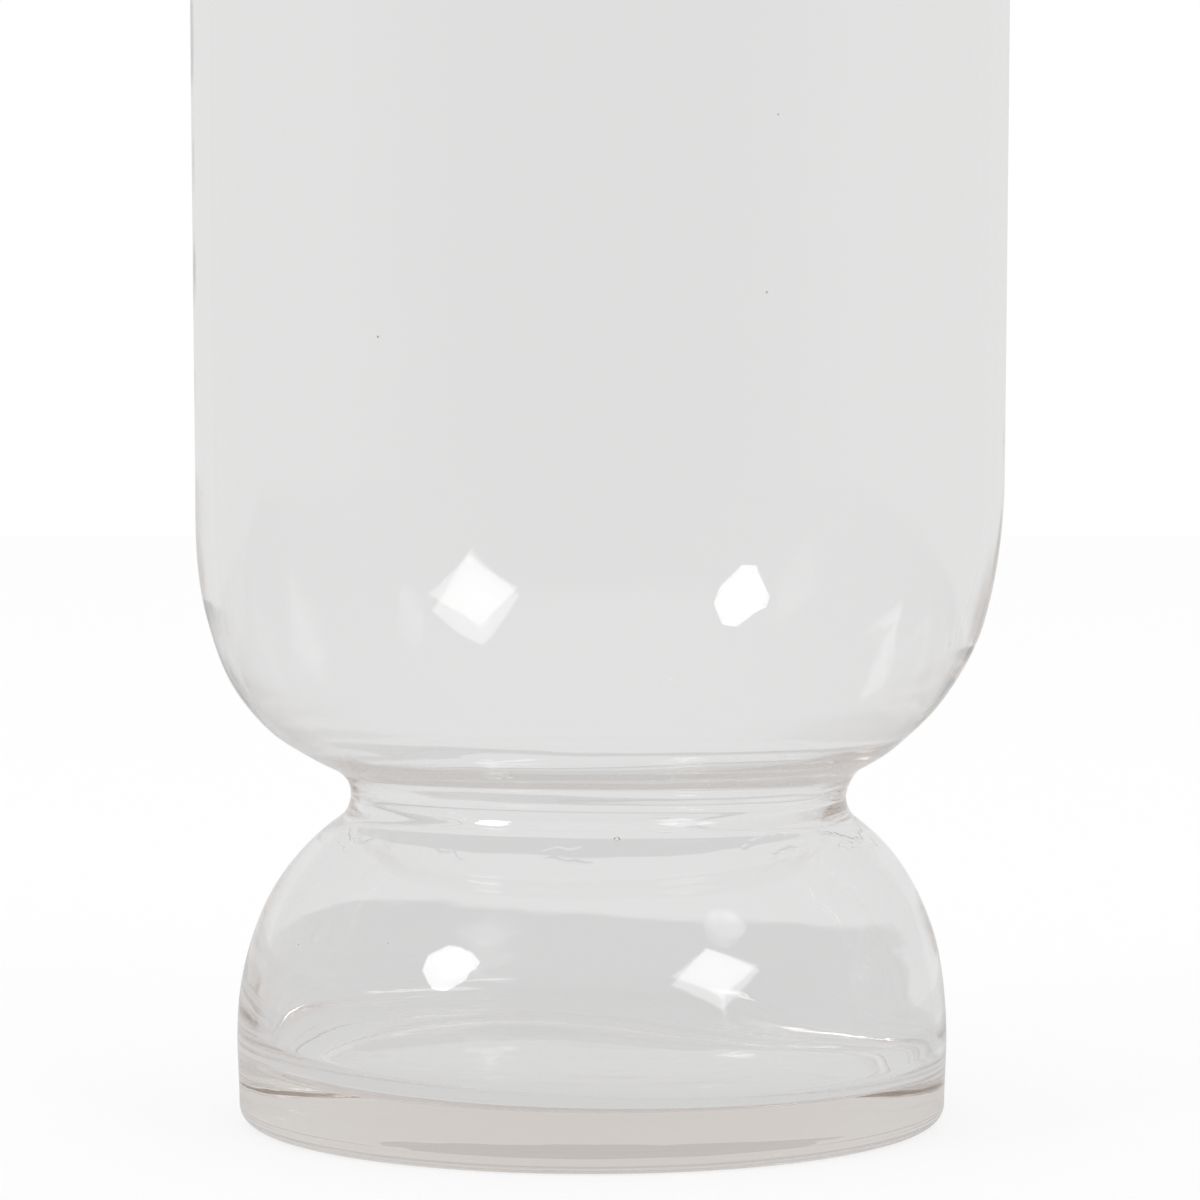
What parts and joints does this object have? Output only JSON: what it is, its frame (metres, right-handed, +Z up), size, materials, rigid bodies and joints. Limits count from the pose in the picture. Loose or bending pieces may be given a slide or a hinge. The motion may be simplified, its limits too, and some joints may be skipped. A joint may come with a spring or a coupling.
{
  "type": "hyacinth forcing vase",
  "caption": "Clear glass forcing vase: tall straight cup for the bulb, drawn-in waist that it sits on, bell-shaped water chamber as the foot.",
  "frame": {"origin": "middle of the flat ring that the foot stands on", "axes": "+Z up along the vase's axis, towards the mouth; -Y is the side that the picture shows"},
  "size_m": [0.1017, 0.1016, 0.2],
  "materials": {
    "clear_glass": "clear, slightly warm grey where thick, fire-polished gloss"
  },
  "bodies": {
    "root": {"glass_vase": "clear_glass"}
  },
  "joints": []
}
